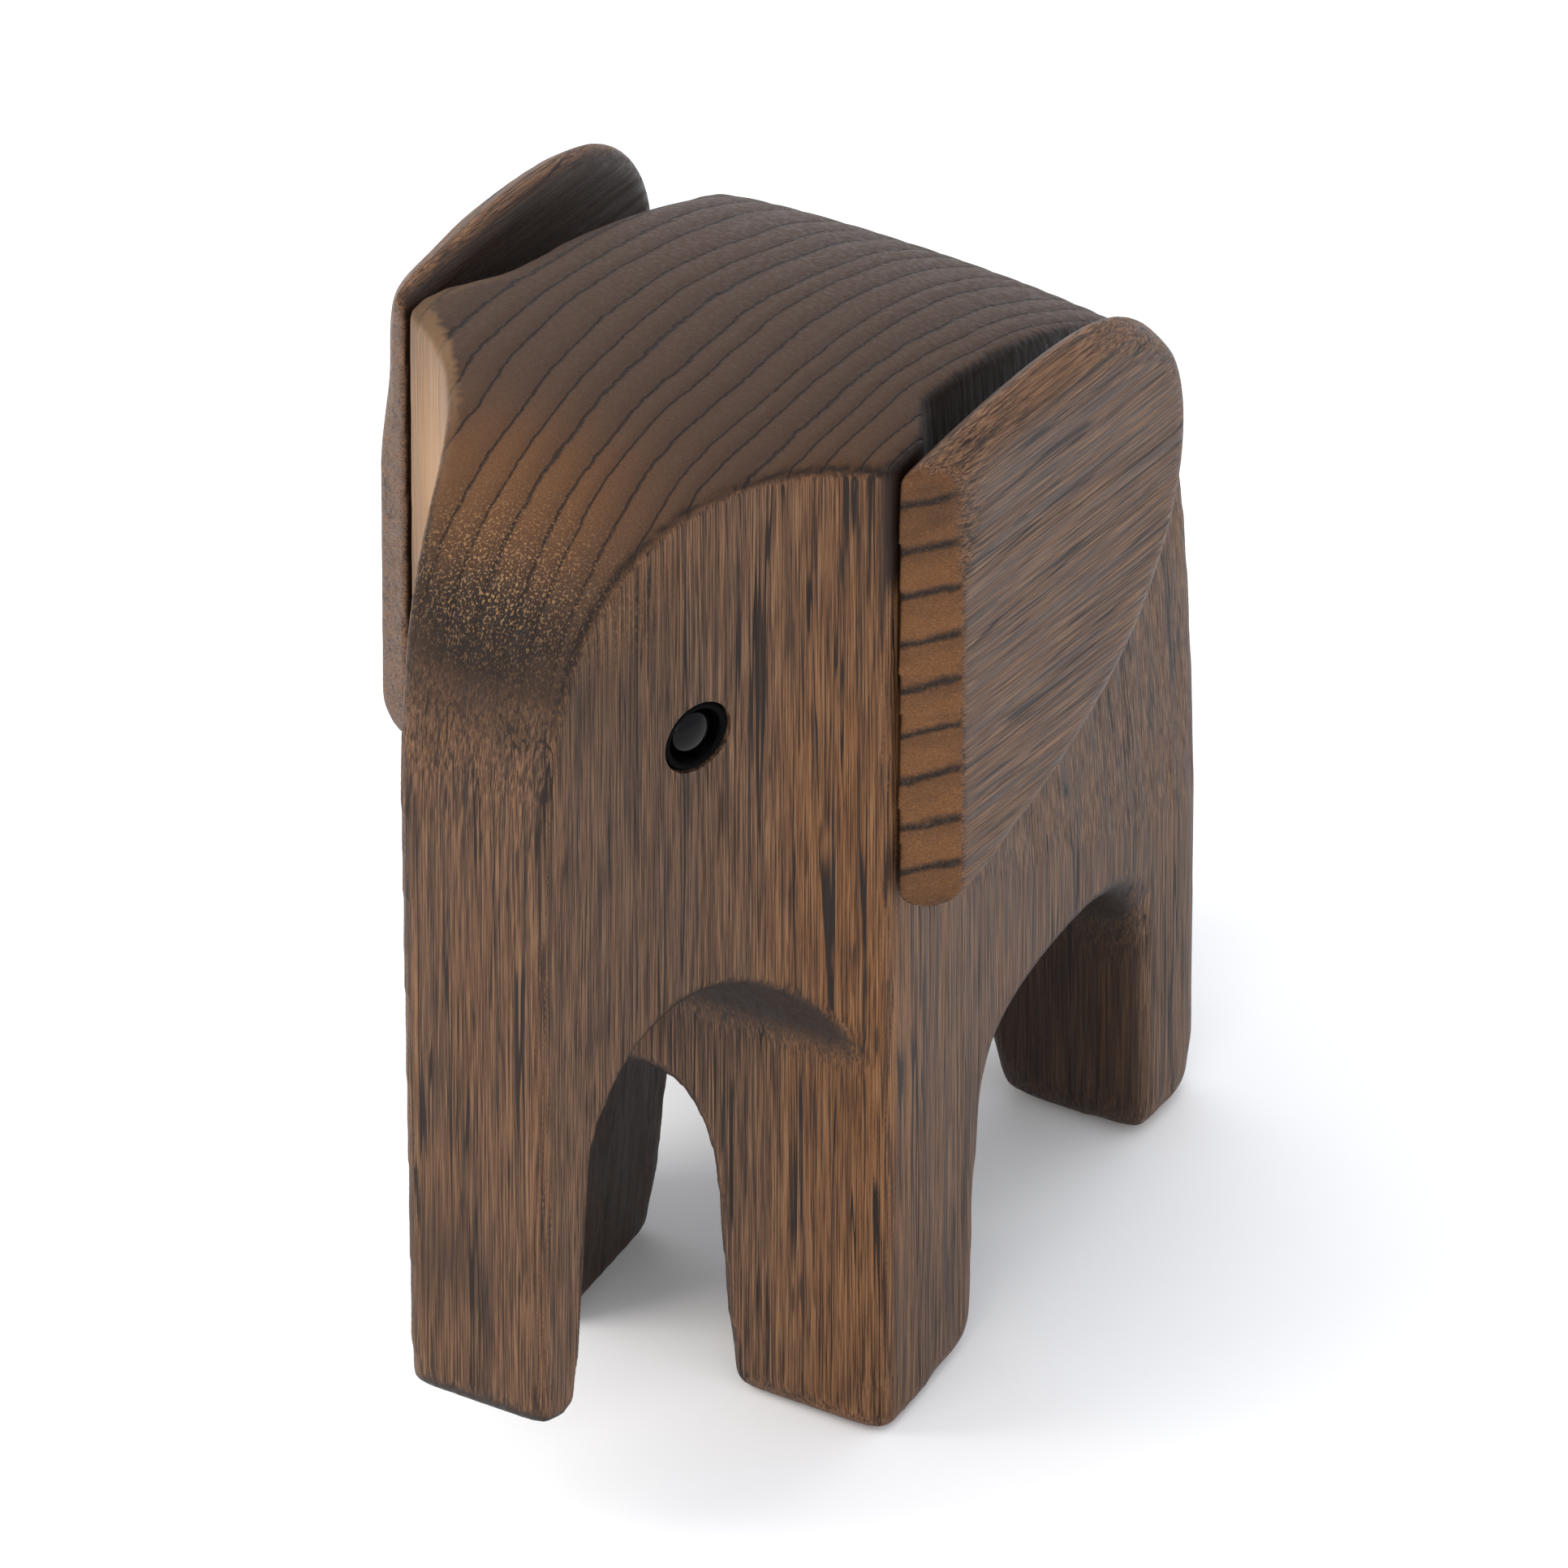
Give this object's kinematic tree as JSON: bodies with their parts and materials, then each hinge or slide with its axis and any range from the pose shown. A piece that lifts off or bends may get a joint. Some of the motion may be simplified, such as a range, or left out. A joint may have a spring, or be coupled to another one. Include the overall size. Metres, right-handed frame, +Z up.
{
  "type": "elephant figurine",
  "caption": "Palm-sized carved wooden elephant standing on four feet, with a straight hanging trunk, glued-on ears and set-in black bead eyes.",
  "frame": {"origin": "on the floor, under the middle of the bounding box", "axes": "+Z up; -Y is the way the elephant and its trunk face; +X is the elephant's left side"},
  "size_m": [0.0536, 0.0844, 0.1],
  "materials": {
    "stained_oak": "satin",
    "ear_oak": "satin",
    "black_cup": "gloss",
    "black_bead": "gloss"
  },
  "bodies": {
    "root": {"body_block": "stained_oak", "left_ear": "ear_oak", "right_ear": "ear_oak", "left_eye_cup": "black_cup", "right_eye_cup": "black_cup", "left_eye_bead": "black_bead", "right_eye_bead": "black_bead"}
  },
  "joints": []
}
